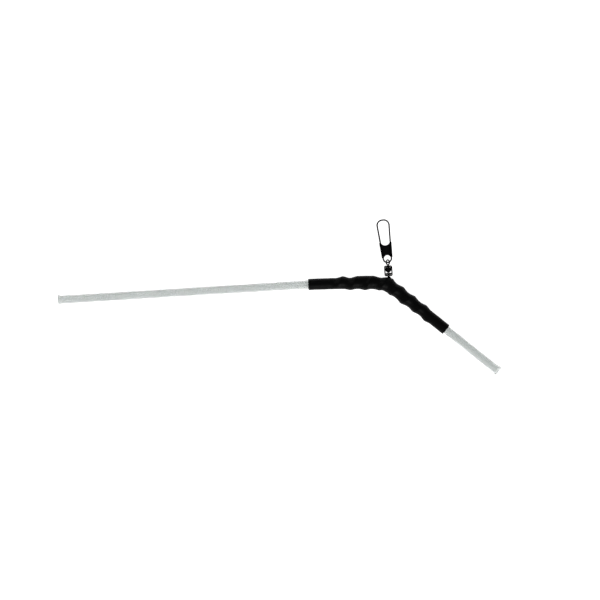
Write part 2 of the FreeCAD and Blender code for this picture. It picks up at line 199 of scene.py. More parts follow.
# %% Clear tube
LIP_LENGTH = 1.3
LIP_BAND = 0.5
LIP_NOSE = 0.3
MOUTH_FLARE = 0.3
LONG_LIP_OD, SHORT_LIP_OD = 4.2, 4.5


def lip_share(s):
    """1 along the band at either mouth, then an S-curve down to 0 where the lip has run out."""
    to_long, to_short = s + LONG_ARM, TUBE_END - s
    return 1 - smooth((np.minimum(to_long, to_short) - LIP_BAND) / (LIP_LENGTH - LIP_BAND))


def outside_radius(s):
    lip_od = np.where(s < 0, LONG_LIP_OD, SHORT_LIP_OD)
    return TUBE_OD / 2 + (lip_od - TUBE_OD) / 2 * lip_share(s)


def inside_radius(s):
    return BORE / 2 + MOUTH_FLARE * lip_share(s)


def tube_stations():
    """Distances along the tube: close together at the lips and the elbow, sparse on the straights."""
    low, high = LIP_NOSE - LONG_ARM, TUBE_END - LIP_NOSE
    return np.concatenate([
        np.linspace(low, low + LIP_LENGTH, 14),
        np.linspace(low + LIP_LENGTH, 0, 40)[1:],
        np.linspace(0, SET_END, 16)[1:],
        np.linspace(SET_END, ELBOW_END, 40)[1:],
        np.linspace(ELBOW_END, high - LIP_LENGTH, 24)[1:],
        np.linspace(high - LIP_LENGTH, high, 14)[1:],
    ])


def nose(mouth, inwards):
    """Half-ellipse that joins the outside wall to the inside wall at a mouth."""
    angle = np.linspace(0, math.pi, 12)[1:-1]
    edge = mouth + inwards * LIP_NOSE
    outer, inner = outside_radius(edge), inside_radius(edge)
    radius = (outer + inner) / 2 + (outer - inner) / 2 * np.cos(angle)
    return edge - inwards * LIP_NOSE * np.sin(angle), radius


stations = tube_stations()
far_s, far_r = nose(TUBE_END, -1)
near_s, near_r = nose(-LONG_ARM, 1)
outline_s = np.concatenate([stations, far_s, stations[::-1], near_s])
outline_r = np.concatenate([outside_radius(stations), far_r, inside_radius(stations[::-1]), near_r[::-1]])
turns = around(72)
tube_points = round_line(outline_s[:, None], turns[None, :], outline_r[:, None])
tube_flow = np.stack(np.broadcast_arrays(
    np.cos(turns)[None, :], np.sin(turns)[None, :], outline_s[:, None] / TUBE_OD), axis=-1)
clear_tube = piece("clear_tube", [surface("tube", tube_points, rows_close=True, flow=tube_flow)], "boom")
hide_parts("boom_long_arm", "boom_elbow", "boom_short_arm")

# %% [markdown]
# ## The heat-shrink sleeve
#
# The sleeve is a soft plastic tube that shrinks when it is heated. It grips the clear tube at both
# ends, and in between it is drawn over the spring wire like cloth over a rope: a ridge over every
# turn, with the plastic bridging down to the tube on both sides. On the elbow's outer side, before
# the swivel, the turns stand off the tube and the plastic spans from one to the next. On the inner
# side of the bend the sleeve has length to spare, so it gathers there and is thicker.
#
# A cloth simulation would find much the same shape, slowly. The winding is regular, so the height of
# the plastic is written down instead: how far a point is from the nearest turn of wire gives a tent,
# and the larger of the tent and the bridging span is the surface. The grid opens along one seam to
# make the slot for the swivel's eye, and Solidify gives the wall.

# %% Where the spring wire runs under the sleeve
WIRE = 0.5
PITCH = 6.25
WINDING_GAP = 0.03
ANCHOR_ANGLE = math.radians(16.8)
TURNS_BEFORE, TURNS_AFTER = 3.25, 3.5
ANCHOR = SET_END + ELBOW_RADIUS * ANCHOR_ANGLE
COIL_START, COIL_END = ANCHOR - TURNS_BEFORE * PITCH, ANCHOR + TURNS_AFTER * PITCH
STANDOFF = 0.4
ARCH_HEIGHT = 0.69
ARCH_SPREAD = 42.0


def standoff(s):
    """How far a turn lifts off the outer side: it grows up to the swivel, and ends past it."""
    rising = 0.4 + 0.6 * np.clip((s - COIL_START) / (ANCHOR - PITCH - COIL_START), 0, 1)
    ending = smooth(1 - (s - ANCHOR) / PITCH)
    return STANDOFF * np.where(s < ANCHOR, rising, ending)


def nearest_turn(s, turn):
    """Distance along the tube where the wire crosses a line at this angle, nearest to s.

    The wire is at the angle -2 pi (s - anchor) / pitch, so it crosses every pitch.
    """
    first = ANCHOR - PITCH * turn / (2 * math.pi)
    return first + PITCH * np.round((s - first) / PITCH)


# %% Height of the draped plastic
WALL = 0.5
GRIP_R = TUBE_OD / 2 + 0.03 + WALL
SLEEVE_START, SLEEVE_END = ANCHOR - 33.4, ANCHOR + 31.5
OVER_WIRE = WINDING_GAP + WIRE + 0.07 + TUBE_OD / 2 + WALL - GRIP_R
TENT_WIDTH = 2.0
RAISED_LIP = 0.35  # height of the slot's lip, just past the swivel
GATHERED = 0.45  # extra thickness on the bend's inner side
SLOT_MIDDLE, SLOT_HALF, SLOT_WIDTH = -0.15, 1.75, 1.7


def softer(a, b, blend):
    """The larger of two heights, rounded where they cross: (a + b + sqrt((a - b)^2 + blend^2)) / 2."""
    return (a + b + np.sqrt((a - b) ** 2 + blend**2)) / 2


def tent(distance, width):
    """1 over the wire, straight sides down to 0 at the width, round at the top and the foot."""
    side = 1.1 - np.sqrt((distance / width) ** 2 + 0.01)
    return softer(side, 0.0, 0.12)


def wire_lift(crossing, outer_side):
    """How far the wire is off the tube where it crosses: the standoff, or the arch at the swivel."""
    arch = np.exp(-((crossing - ANCHOR) * 360 / PITCH / ARCH_SPREAD) ** 2)
    return standoff(crossing) * outer_side * (1 - arch) + ARCH_HEIGHT * arch


def sleeve_radius(s, turn):
    """Outside radius of the sleeve at a distance along it and an angle round it."""
    outer_side = (1 + np.cos(turn)) / 2
    past_swivel = s - ANCHOR
    crossing = nearest_turn(s, np.where(turn > math.pi, turn - 2 * math.pi, turn))
    lead = math.atan(PITCH / (2 * math.pi * (TUBE_OD + WIRE) / 2))
    away = (s - crossing) * math.cos(lead)
    past_end = np.maximum(COIL_START - crossing, crossing - COIL_END)
    covers = 1 - smooth(past_end / (0.25 * PITCH))
    height = (OVER_WIRE + wire_lift(crossing, outer_side)) * covers
    width = TENT_WIDTH * (0.75 + 0.25 * height / OVER_WIRE)
    ridge = height * tent(away, width)
    span_starts = smooth((past_swivel + 2 * PITCH + 1.0) / 2.0)
    span_ends = 1 - smooth((past_swivel + PITCH - 0.3) / 3.3)
    span = (OVER_WIRE + standoff(s)) * span_starts * span_ends
    near_swivel = 0.25 * (1 - span_ends) * (1 - smooth((past_swivel - 2.0) / 1.5))
    bridge = outer_side**2 * (span + near_swivel)
    raised_lip = RAISED_LIP * np.exp(-((past_swivel - 1.35) / 0.7) ** 2 - (3 * np.sin(turn / 2)) ** 2)
    inner_side = ((1 - np.cos(turn)) / 2) ** 2
    on_bend = smooth((past_swivel + 2.5) / 3.0) * (1 - smooth((past_swivel - 9.0) / 7.0))
    gathered = GATHERED * inner_side * on_bend
    slow = 0.018 * np.sin(1.7 * s + 2 * turn) * np.sin(0.43 * s + 1.3)
    uneven = slow + 0.012 * np.sin(0.9 * s - 3 * turn)
    return GRIP_R + softer(ridge, bridge, 0.12) + raised_lip + gathered + uneven


# %% Sleeve with its slot
sleeve_s = np.linspace(SLEEVE_START, SLEEVE_END, 330)[:, None]
slot_shape = np.sqrt(np.clip(1 - ((sleeve_s - ANCHOR - SLOT_MIDDLE) / SLOT_HALF) ** 2, 0, 1))
slot_edge = SLOT_WIDTH / 2 / (TUBE_OD / 2 + WALL + 0.9) * slot_shape
share = np.linspace(0, 1, 97)[None, :]
sleeve_turn = slot_edge + (2 * math.pi - 2 * slot_edge) * share
sleeve_r = sleeve_radius(sleeve_s, sleeve_turn)
sleeve_points = round_line(sleeve_s, sleeve_turn, sleeve_r)
sleeve_flow = np.stack(np.broadcast_arrays(
    np.cos(sleeve_turn), np.sin(sleeve_turn), sleeve_s / TUBE_OD), axis=-1)
sleeve = piece(
    "heat_shrink_sleeve",
    [surface("sleeve", sleeve_points, columns_close=False, flow=sleeve_flow)],
    "boom",
)
wall = sleeve.modifiers.new("wall", "SOLIDIFY")
wall.thickness = WALL * MM
wall.offset = -1
wall.use_even_offset = True
rim = sleeve.modifiers.new("rim", "BEVEL")
rim.limit_method = "ANGLE"
rim.angle_limit = math.radians(50)
rim.width = 0.12 * MM
rim.segments = 3
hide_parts("shrink_sleeve")
print(f"sleeve {SLEEVE_END - SLEEVE_START:.1f} mm long, up to {2 * sleeve_r.max():.2f} mm thick")

# %% [markdown]
# ## The barrel swivel
#
# A swivel is two eyes whose stems run in the ends of a small metal barrel. This one's barrel is open
# at the front and back, so the heads on the stems show. Lathe shapes suit the stems, heads and the
# barrel's ends, which are profiles turned about the swivel's axis. The two arms that join the ends
# are segments of a circle, cut off by the window, whose size follows the barrel's outline.

# %% The swivel's axis and the lathe
hinge = np.array(joints["anchor_swing"]["pos_m"]) / MM
barrel_low, barrel_high = (np.array(corner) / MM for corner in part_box("swivel_barrel"))
swivel_x = hinge[0]


def lathe(name, profile, columns=48, closed=False):
    """Turns (height, radius) points about the swivel's axis; a closed profile makes a ring."""
    profile = np.array(profile, float)
    angle = around(columns)
    height = np.broadcast_to(profile[:, :1], (len(profile), columns))
    x = swivel_x + profile[:, 1:] * np.cos(angle)
    z = profile[:, 1:] * np.sin(angle)
    return surface(name, np.stack([x, height, z], axis=-1), rows_close=closed)


def rounded(corners, radius, steps=5, closed=False):
    """Outline through corners, each cut back by radius and joined by a quadratic curve."""
    corners = np.array(corners, float)
    before, after = np.roll(corners, 1, axis=0), np.roll(corners, -1, axis=0)
    to_before = np.linalg.norm(before - corners, axis=1, keepdims=True) + 1e-9
    to_after = np.linalg.norm(after - corners, axis=1, keepdims=True) + 1e-9
    cut_in = np.minimum(radius / to_before, 0.45)
    cut_out = np.minimum(radius / to_after, 0.45)
    start, end = corners + (before - corners) * cut_in, corners + (after - corners) * cut_out
    t = np.linspace(0, 1, steps)[None, :, None]
    curve = (1 - t) ** 2 * start[:, None] + 2 * t * (1 - t) * corners[:, None] + t**2 * end[:, None]
    if closed:
        return curve.reshape(-1, 2)
    inner = curve[1:-1].reshape(-1, 2)
    return np.concatenate([corners[:1], inner, corners[-1:]])


# %% Barrel
BARREL_OD, BARREL_END_OD = 3.5, 2.1
BARREL_END_WALL = 0.6
ARM = 0.5
STEM_OD, STEM_GAP = 0.9, 0.05
barrel_length = barrel_high[1] - barrel_low[1]
barrel_middle = (barrel_high[1] + barrel_low[1]) / 2


def barrel_radius(y):
    """Outline of the barrel: its end radius, plus sqrt(1 - u^8), which rises fast and stays level."""
    u = np.abs(y - barrel_middle) / (barrel_length / 2)
    return BARREL_END_OD / 2 + (BARREL_OD - BARREL_END_OD) / 2 * np.sqrt(np.clip(1 - u**8, 0, 1))


def barrel_end(side):
    """Thick ring at one end of the barrel: side is -1 at the lower eye and +1 at the upper."""
    mouth = barrel_middle + side * barrel_length / 2
    depth = np.linspace(0, 1, 14) ** 1.6 * BARREL_END_WALL
    y = mouth - side * depth
    shoulder = np.stack([y, barrel_radius(y)], axis=-1)
    hole = STEM_OD / 2 + STEM_GAP
    inside = y[-1]
    back = rounded([(inside, shoulder[-1, 1]), (inside, hole), (mouth, hole), (mouth, shoulder[0, 1])], 0.12)
    outline = np.concatenate([shoulder[1:], back[1:]])
    return lathe("barrel_end", outline, closed=True)


def barrel_arm(side):
    """Arm beside the window: a segment of a circle at each height, with its corners softened."""
    edge = BARREL_OD / 2 - ARM
    overlap = 0.15
    low = barrel_low[1] + BARREL_END_WALL - overlap
    high = barrel_high[1] - BARREL_END_WALL + overlap
    y = np.linspace(low, high, 40)[:, None]
    radius = barrel_radius(y)
    half = np.arccos(np.clip(edge / radius, -1, 1))
    arc = half * np.linspace(-1, 1, 33)[None, :]
    chord = np.linspace(1, -1, 17)[None, 1:-1]
    x = np.concatenate([radius * np.cos(arc), edge + 0 * half * chord], axis=1)
    z = np.concatenate([radius * np.sin(arc), radius * np.sin(half) * chord], axis=1)
    for _ in range(3):
        x = (np.roll(x, 1, axis=1) + 2 * x + np.roll(x, -1, axis=1)) / 4
        z = (np.roll(z, 1, axis=1) + 2 * z + np.roll(z, -1, axis=1)) / 4
    closing = np.array([0.0] + [1.0] * len(y) + [0.0])[:, None]
    rows = np.r_[0, np.arange(len(y)), len(y) - 1]
    x, z, y = x[rows], z[rows], y[rows]
    x = x.mean(axis=1, keepdims=True) + (x - x.mean(axis=1, keepdims=True)) * closing
    points = np.stack([swivel_x + side * x, y + 0 * x, z * closing], axis=-1)
    return surface("barrel_arm", points)


barrel = piece("swivel_barrel_body", [barrel_end(-1), barrel_end(1), barrel_arm(-1), barrel_arm(1)], "barrel")
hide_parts("swivel_barrel")

# %% Eyes, stems and heads
EYE_WIRE = 0.55
LOWER_EYE_OD, UPPER_EYE_OD = 2.0, 2.6
UPPER_EYE_TURN = math.radians(50)
END_PLAY = 0.05
LOWER_HEAD, UPPER_HEAD = 0.75, 1.65
HEAD_R = BARREL_OD / 2 - ARM - 0.03
CONE_TIP_OD = 0.7


def ring(centre_y, outer_od, turn):
    """Torus of eye wire; turn is the turn of its plane about the swivel's axis."""
    mean = (outer_od - EYE_WIRE) / 2
    along, across = around(72)[:, None], around(24)[None, :]
    reach = mean + EYE_WIRE / 2 * np.cos(across)
    flat = reach * np.sin(along)
    height = centre_y + reach * np.cos(along)
    deep = EYE_WIRE / 2 * np.sin(across) + 0 * along
    x = swivel_x + flat * math.cos(turn) - deep * math.sin(turn)
    z = flat * math.sin(turn) + deep * math.cos(turn)
    return surface("ring", np.stack([x, height, z], axis=-1), rows_close=True)


def stem_profile(eye_y, outer_od, side, head):
    """From the eye's wire: a neck that widens into the ring, the stem, and the head's own corners."""
    wire_y = eye_y + side * (outer_od - EYE_WIRE) / 2
    seat = eye_y + side * (outer_od / 2 + END_PLAY)
    head_start = seat + side * (BARREL_END_WALL + END_PLAY)
    corners = [
        (wire_y, 0), (wire_y, EYE_WIRE * 0.42), (seat - side * 0.12, STEM_OD / 2),
        (head_start, STEM_OD / 2), (head_start, HEAD_R),
    ]
    corners += [(head_start + side * height, radius) for height, radius in head]
    return rounded(corners, 0.09)


lower_eye_y = barrel_low[1] - END_PLAY - LOWER_EYE_OD / 2
upper_eye_y = barrel_high[1] + END_PLAY + UPPER_EYE_OD / 2
head_span = barrel_length - 2 * (BARREL_END_WALL + END_PLAY)
cone_end = head_span - LOWER_HEAD - END_PLAY
lower_eye = piece("swivel_eye_lower", [
    ring(lower_eye_y, LOWER_EYE_OD, 0.0),
    lathe("stem", stem_profile(lower_eye_y, LOWER_EYE_OD, 1, [(LOWER_HEAD, HEAD_R), (LOWER_HEAD, 0)])),
], "lower_eye")
upper_eye = piece("swivel_eye_upper", [
    ring(upper_eye_y, UPPER_EYE_OD, UPPER_EYE_TURN),
    lathe("stem", stem_profile(upper_eye_y, UPPER_EYE_OD, -1, [
        (UPPER_HEAD, HEAD_R), (cone_end, CONE_TIP_OD / 2), (cone_end, 0)])),
], "upper_eye")
for eye, node in ((lower_eye, "swivel_lower_eye"), (upper_eye, "swivel_upper_eye")):
    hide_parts(node)

# %% [markdown]
# ## The safety snap
#
# The snap is one length of spring wire bent into a small loop at the bottom and a long loop at the
# top. A folded plate crimps one end of the wire. The other end springs sideways into an open gutter
# of the plate, and comes out when it is pressed, which opens the snap. The wire lies in one plane, so
# a bar of round section is easy to carry along it: at each point the section is spanned by the
# in-plane normal and by the plane's own normal.

# %% The snap's own axes
snap_origin = np.array(joints["snap_tilt"]["pos_m"]) / MM
snap_x = np.array(joints["snap_tilt"]["axis"])
snap_y = np.cross([0.0, 0.0, 1.0], snap_x)
snap_z = np.array([0.0, 0.0, 1.0])
SNAP_LENGTH = np.linalg.norm(np.array(joints["gate_flex"]["pos_m"]) / MM - snap_origin)
SNAP_WIRE = 0.65
SMALL_LOOP = 1.73
CROWN, CROWN_FLAT = 2.53, 0.6
CRIMP_END, GUTTER_START = 4.9, 5.2
arc_r = CROWN - CROWN_FLAT / 2
arc_y = SNAP_LENGTH - arc_r
leg_lean = math.atan2(CROWN_FLAT / 2, arc_y - SMALL_LOOP) + math.asin(
    (arc_r - SMALL_LOOP) / math.hypot(arc_y - SMALL_LOOP, CROWN_FLAT / 2))


def on_snap(x, y, z):
    """Points from the snap's own axes: across, along and out of its plane."""
    x, y, z = np.broadcast_arrays(x, y, z)
    return snap_origin + x[..., None] * snap_x + y[..., None] * snap_y + z[..., None] * snap_z


def leg_x(y):
    """Distance of a leg from the snap's middle line: a straight line, tangent to both loops."""
    foot_x, foot_y = SMALL_LOOP * math.cos(leg_lean), SMALL_LOOP * (1 - math.sin(leg_lean))
    return foot_x + (y - foot_y) * math.tan(leg_lean)


def arc_line(centre_x, centre_y, radius, start, end, count):
    """Points on an arc between two angles, without the last."""
    angle = np.linspace(start, end, count)[:-1]
    return np.stack([centre_x + radius * np.cos(angle), centre_y + radius * np.sin(angle)], axis=-1)


def straight(start, end, count):
    return np.linspace(start, end, count)[:-1]


def bar(name, line, radius, tuck):
    """Round bar along a flat line. Its ends are rounded, or tucked in where they meet another bar.

    tuck is (at the start, at the end): a tucked end narrows a little and runs on inside the other.
    """
    tangent = np.gradient(line, axis=0)
    tangent /= np.linalg.norm(tangent, axis=1, keepdims=True)
    rows, sizes = [line], [np.ones(len(line))]
    for at_start, tucked in zip((True, False), tuck):
        end, way = (line[0], -tangent[0]) if at_start else (line[-1], tangent[-1])
        if tucked:
            ahead, size = np.array([0.0, 0.03, 0.2, 0.2]), np.array([0.97, 0.95, 0.95, 0.0])
        else:
            angle = np.linspace(0, math.pi / 2, 8)[1:]
            ahead, size = radius * np.sin(angle), np.cos(angle)
        more = end + ahead[:, None] * way
        rows = [more[::-1]] + rows if at_start else rows + [more]
        sizes = [size[::-1]] + sizes if at_start else sizes + [size]
    counts = [len(rows[0]), len(line), len(rows[-1])]
    ends = np.concatenate([np.repeat(tangent[:1], counts[0], axis=0), tangent,
                           np.repeat(tangent[-1:], counts[2], axis=0)])
    centre, size = np.concatenate(rows)[:, None], np.concatenate(sizes)[:, None]
    angle = around(24)[None, :]
    x = centre[..., 0] - ends[:, 1:] * radius * size * np.cos(angle)
    y = centre[..., 1] + ends[:, :1] * radius * size * np.cos(angle)
    return surface(name, on_snap(x, y, radius * size * np.sin(angle)))


# %% The wire's two runs
foot_y = SMALL_LOOP * (1 - math.sin(leg_lean))
foot = np.array([leg_x(foot_y), foot_y])
top = np.array([CROWN_FLAT / 2 + arc_r * math.cos(leg_lean), arc_y - arc_r * math.sin(leg_lean)])
mirror = np.array([-1.0, 1.0])
fixed_run = np.concatenate([
    straight([-leg_x(CRIMP_END), CRIMP_END], foot * mirror, 14),
    arc_line(0, SMALL_LOOP, SMALL_LOOP, math.pi + leg_lean, 2 * math.pi - leg_lean, 40),
    straight(foot, top, 40),
    arc_line(CROWN_FLAT / 2, arc_y, arc_r, -leg_lean, math.pi / 2, 32),
    np.linspace([CROWN_FLAT / 2, SNAP_LENGTH], [0, SNAP_LENGTH], 4),
])
gate_run = np.concatenate([
    np.linspace([0, SNAP_LENGTH], [-CROWN_FLAT / 2, SNAP_LENGTH], 4)[:-1],
    arc_line(-CROWN_FLAT / 2, arc_y, arc_r, math.pi / 2, math.pi + leg_lean, 32),
    np.linspace(top * mirror, [-leg_x(GUTTER_START + 0.3), GUTTER_START + 0.3], 36),
])
snap_wire = piece("snap_wire_fixed", [bar("wire", fixed_run, SNAP_WIRE / 2, (False, True))], "snap")
snap_gate = piece("snap_wire_gate", [bar("gate", gate_run, SNAP_WIRE / 2, (True, False))], "gate")
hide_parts("snap_wire")
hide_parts("snap_gate")

# %% [markdown]
# ## The folded plate
#
# The plate starts as a flat blank with a hollow in its top edge and an arch in its bottom edge. It is
# then folded round both legs of the wire. So the grid's columns run across the blank, from the edge
# of one fold to the edge of the other, and its rows run along the snap between the two cut edges.

# %% Plate blank and folds
SHEET = 0.2
FOLD_R = SNAP_WIRE / 2 + 0.02 + SHEET / 2
PLATE_LOW, PLATE_HIGH = 2.1, 8.5
HOLLOW_R, HOLLOW_DEPTH = 2.1, 7.3
ARCH_R, ARCH_TOP = 1.45, 3.1
CRIMP_WRAP = math.radians(175)


def cut_edges(x):
    """Lowest and highest point of the blank at a distance from its middle line."""
    arch = ARCH_TOP - ARCH_R + np.sqrt(np.clip(ARCH_R**2 - x**2, 0, None))
    hollow = HOLLOW_DEPTH + HOLLOW_R - np.sqrt(np.clip(HOLLOW_R**2 - x**2, 0, None))
    low = np.where(np.abs(x) < ARCH_R, np.maximum(arch, PLATE_LOW), PLATE_LOW)
    high = np.where(np.abs(x) < HOLLOW_R, np.minimum(hollow, PLATE_HIGH), PLATE_HIGH)
    return low, high


def fold_section(share, open_share):
    """Section of a fold from the flat sheet outwards: a crimp round the wire, or an open gutter.

    Both start as the same quarter circle. The crimp goes on round, and the gutter goes straight up.
    open_share is 0 for the crimp and 1 for the gutter.
    """
    quarter = FOLD_R * math.pi / 2
    crimp = share * CRIMP_WRAP * FOLD_R
    gutter = share * (quarter + SNAP_WIRE / 2)
    round_x, round_z = FOLD_R * np.sin(crimp / FOLD_R), -FOLD_R * np.cos(crimp / FOLD_R)
    bent = np.minimum(gutter, quarter) / FOLD_R
    open_x, open_z = FOLD_R * np.sin(bent), -FOLD_R * np.cos(bent) + np.maximum(gutter - quarter, 0)
    return round_x + (open_x - round_x) * open_share, round_z + (open_z - round_z) * open_share


FLAT_COLUMNS, FOLD_COLUMNS = 81, 21
across_flat = np.sin(np.linspace(-math.pi / 2, math.pi / 2, FLAT_COLUMNS))
fold_share = np.linspace(0, 1, FOLD_COLUMNS + 1)[1:]
rows = np.linspace(0, 1, 72)[:, None]
flat_low, _ = cut_edges(across_flat * leg_x(PLATE_LOW + 0.5))
_, flat_high = cut_edges(across_flat * leg_x(PLATE_HIGH))
fold_low, fold_high = np.full(FOLD_COLUMNS, PLATE_LOW), np.full(FOLD_COLUMNS, PLATE_HIGH)
columns_low = np.concatenate([fold_low, flat_low, fold_low])
columns_high = np.concatenate([fold_high, flat_high, fold_high])
plate_y = columns_low + (columns_high - columns_low) * rows
legs = leg_x(plate_y)
opening = smooth((plate_y[:, :FOLD_COLUMNS] - CRIMP_END) / (GUTTER_START - CRIMP_END))
left_x, left_z = fold_section(fold_share[::-1][None, :], opening)
right_x, right_z = fold_section(fold_share[None, :], 0.0)
plate_x = np.concatenate([
    -legs[:, :FOLD_COLUMNS] - left_x,
    legs[:, FOLD_COLUMNS:-FOLD_COLUMNS] * across_flat,
    legs[:, -FOLD_COLUMNS:] + right_x,
], axis=1)
plate_z = np.concatenate([
    left_z,
    np.full((len(rows), FLAT_COLUMNS), -FOLD_R),
    right_z + 0 * legs[:, -FOLD_COLUMNS:],
], axis=1)
plate = piece(
    "snap_folded_plate",
    [surface("plate", on_snap(plate_x, plate_y, plate_z), columns_close=False)],
    "snap",
)
sheet_wall = plate.modifiers.new("sheet", "SOLIDIFY")
sheet_wall.thickness = SHEET * MM
sheet_wall.offset = 0
burr = plate.modifiers.new("burr", "BEVEL")
burr.limit_method = "ANGLE"
burr.angle_limit = math.radians(50)
burr.width = 0.04 * MM
burr.segments = 2
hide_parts("snap_plate")

# %% [markdown]
# ## Finishes
#
# Six finishes cover the object: clear plastic, shrunk black plastic, drawn steel wire, black nickel
# plate on the swivel, and two darker plates on the snap's wire and sheet. Up close none of them is
# one flat colour. Two effects come back in several of them, so each is a node group: fine grain,
# which is noise at two sizes, and worn edges, where handling polishes the plate on convex corners.

# %% Small helpers for node trees
def add(tree, kind, **settings):
    """A new node, with its settings; an input is set by its name with _ for a space."""
    node = tree.nodes.new(kind)
    for key, value in settings.items():
        if hasattr(node, key):
            setattr(node, key, value)
        else:
            node.inputs[key.replace("_", " ")].default_value = value
    return node


def new_group(name, inputs, outputs):
    """Empty shader group with sockets given as (name, kind, default)."""
    tree = bpy.data.node_groups.new(name, "ShaderNodeTree")
    for label, kind, default in inputs:
        socket = tree.interface.new_socket(label, in_out="INPUT", socket_type=kind)
        if default is not None:
            socket.default_value = default
    for label, kind in outputs:
        tree.interface.new_socket(label, in_out="OUTPUT", socket_type=kind)
    return tree, tree.nodes.new("NodeGroupInput"), tree.nodes.new("NodeGroupOutput")


def mix_colour(tree, factor, first, second):
    """Colour mix whose factor is a socket; first and second are colours or sockets."""
    node = add(tree, "ShaderNodeMix", data_type="RGBA")
    tree.links.new(factor, node.inputs[0])
    for value, socket in ((first, node.inputs[6]), (second, node.inputs[7])):
        if isinstance(value, bpy.types.NodeSocket):
            tree.links.new(value, socket)
        else:
            socket.default_value = (*value, 1)
    return node.outputs[2]


# %% Fine grain group
def make_grain():
    """Noise at two sizes: Broad is soft clouds, Fine is small grain, Height adds both for a bump."""
    tree, given, out = new_group(
        "fine_grain",
        [("Vector", "NodeSocketVector", None), ("Broad Scale", "NodeSocketFloat", 300.0),
         ("Fine Scale", "NodeSocketFloat", 4000.0)],
        [("Broad", "NodeSocketFloat"), ("Fine", "NodeSocketFloat"), ("Height", "NodeSocketFloat")],
    )
    broad = add(tree, "ShaderNodeTexNoise", Detail=3.0, Roughness=0.55)
    fine = add(tree, "ShaderNodeTexNoise", Detail=4.0, Roughness=0.65)
    for node, scale in ((broad, "Broad Scale"), (fine, "Fine Scale")):
        tree.links.new(given.outputs["Vector"], node.inputs["Vector"])
        tree.links.new(given.outputs[scale], node.inputs["Scale"])
    height = add(tree, "ShaderNodeMath", operation="MULTIPLY_ADD")
    height.inputs[1].default_value = 0.35
    tree.links.new(fine.outputs["Fac"], height.inputs[0])
    tree.links.new(broad.outputs["Fac"], height.inputs[2])
    tree.links.new(broad.outputs["Fac"], out.inputs["Broad"])
    tree.links.new(fine.outputs["Fac"], out.inputs["Fine"])
    tree.links.new(height.outputs[0], out.inputs["Height"])
    return tree


# %% Worn edge group
def make_wear():
    """Mask of convex edges, broken up by noise: 0 on faces and in hollows, 1 where plate is polished."""
    tree, given, out = new_group(
        "worn_edges",
        [("Noise", "NodeSocketFloat", 0.5), ("From", "NodeSocketFloat", 0.52),
         ("To", "NodeSocketFloat", 0.60)],
        [("Mask", "NodeSocketFloat")],
    )
    shape = add(tree, "ShaderNodeNewGeometry")
    edge = add(tree, "ShaderNodeMapRange", interpolation_type="SMOOTHSTEP")
    broken = add(tree, "ShaderNodeMath", operation="MULTIPLY", use_clamp=True)
    tree.links.new(shape.outputs["Pointiness"], edge.inputs["Value"])
    tree.links.new(given.outputs["From"], edge.inputs["From Min"])
    tree.links.new(given.outputs["To"], edge.inputs["From Max"])
    tree.links.new(edge.outputs["Result"], broken.inputs[0])
    tree.links.new(given.outputs["Noise"], broken.inputs[1])
    tree.links.new(broken.outputs[0], out.inputs["Mask"])
    return tree


grain_group = make_grain()
wear_group = make_wear()


# %% Start of a material
def start_material(name, vector, stretch, broad_scale, fine_scale):
    """Material with its shader and one grain group that reads a stretched vector.

    vector is "object" for place in the piece, or "flow" for the coordinate that runs with the shape.
    """
    material = bpy.data.materials.new(name)
    material.use_nodes = True
    tree = material.node_tree
    shader = tree.nodes["Principled BSDF"]
    if vector == "flow":
        source = add(tree, "ShaderNodeAttribute", attribute_name="flow").outputs["Vector"]
    else:
        source = add(tree, "ShaderNodeTexCoord").outputs["Object"]
    mapping = add(tree, "ShaderNodeMapping", Scale=stretch)
    grain = add(tree, "ShaderNodeGroup", node_tree=grain_group)
    grain.inputs["Broad Scale"].default_value = broad_scale
    grain.inputs["Fine Scale"].default_value = fine_scale
    tree.links.new(source, mapping.inputs["Vector"])
    tree.links.new(mapping.outputs["Vector"], grain.inputs["Vector"])
    return material, tree, shader, grain


def spread(tree, source, low, high, target):
    """Maps a 0.3 to 0.7 noise value onto a range and feeds a shader socket."""
    node = add(tree, "ShaderNodeMapRange", From_Min=0.3, From_Max=0.7, To_Min=low, To_Max=high)
    tree.links.new(source, node.inputs["Value"])
    tree.links.new(node.outputs["Result"], target)


def bump(tree, height, shader, strength, depth):
    """Bump of a depth in millimetres that feeds the shader's normal."""
    node = add(tree, "ShaderNodeBump", Strength=strength, Distance=depth * MM)
    tree.links.new(height, node.inputs["Height"])
    tree.links.new(node.outputs["Normal"], shader.inputs["Normal"])


# %% Clear plastic
# Die lines run the length of an extruded tube, so its grain is stretched along the flow.
def clear_plastic():
    material, tree, shader, grain = start_material("clear_plastic", "flow", (1, 1, 0.04), 2.2, 9.0)
    shader.inputs["Base Color"].default_value = (0.86, 0.885, 0.875, 1)
    shader.inputs["Transmission Weight"].default_value = 0.75
    shader.inputs["IOR"].default_value = 1.49
    spread(tree, grain.outputs["Fine"], 0.14, 0.24, shader.inputs["Roughness"])
    bump(tree, grain.outputs["Height"], shader, 0.25, 0.02)
    return material


# %% Shrunk black plastic
# The sleeve's skin is satin. It stretches lengthways as it shrinks, which leaves faint lines.
def shrunk_plastic():
    material, tree, shader, grain = start_material("shrunk_plastic", "flow", (1, 1, 0.5), 1.6, 14.0)
    colour = mix_colour(tree, grain.outputs["Broad"], (0.0015, 0.0015, 0.0016), (0.004, 0.004, 0.0042))
    tree.links.new(colour, shader.inputs["Base Color"])
    shader.inputs["Specular IOR Level"].default_value = 0.06
    spread(tree, grain.outputs["Fine"], 0.36, 0.56, shader.inputs["Roughness"])
    bump(tree, grain.outputs["Height"], shader, 0.3, 0.03)
    return material


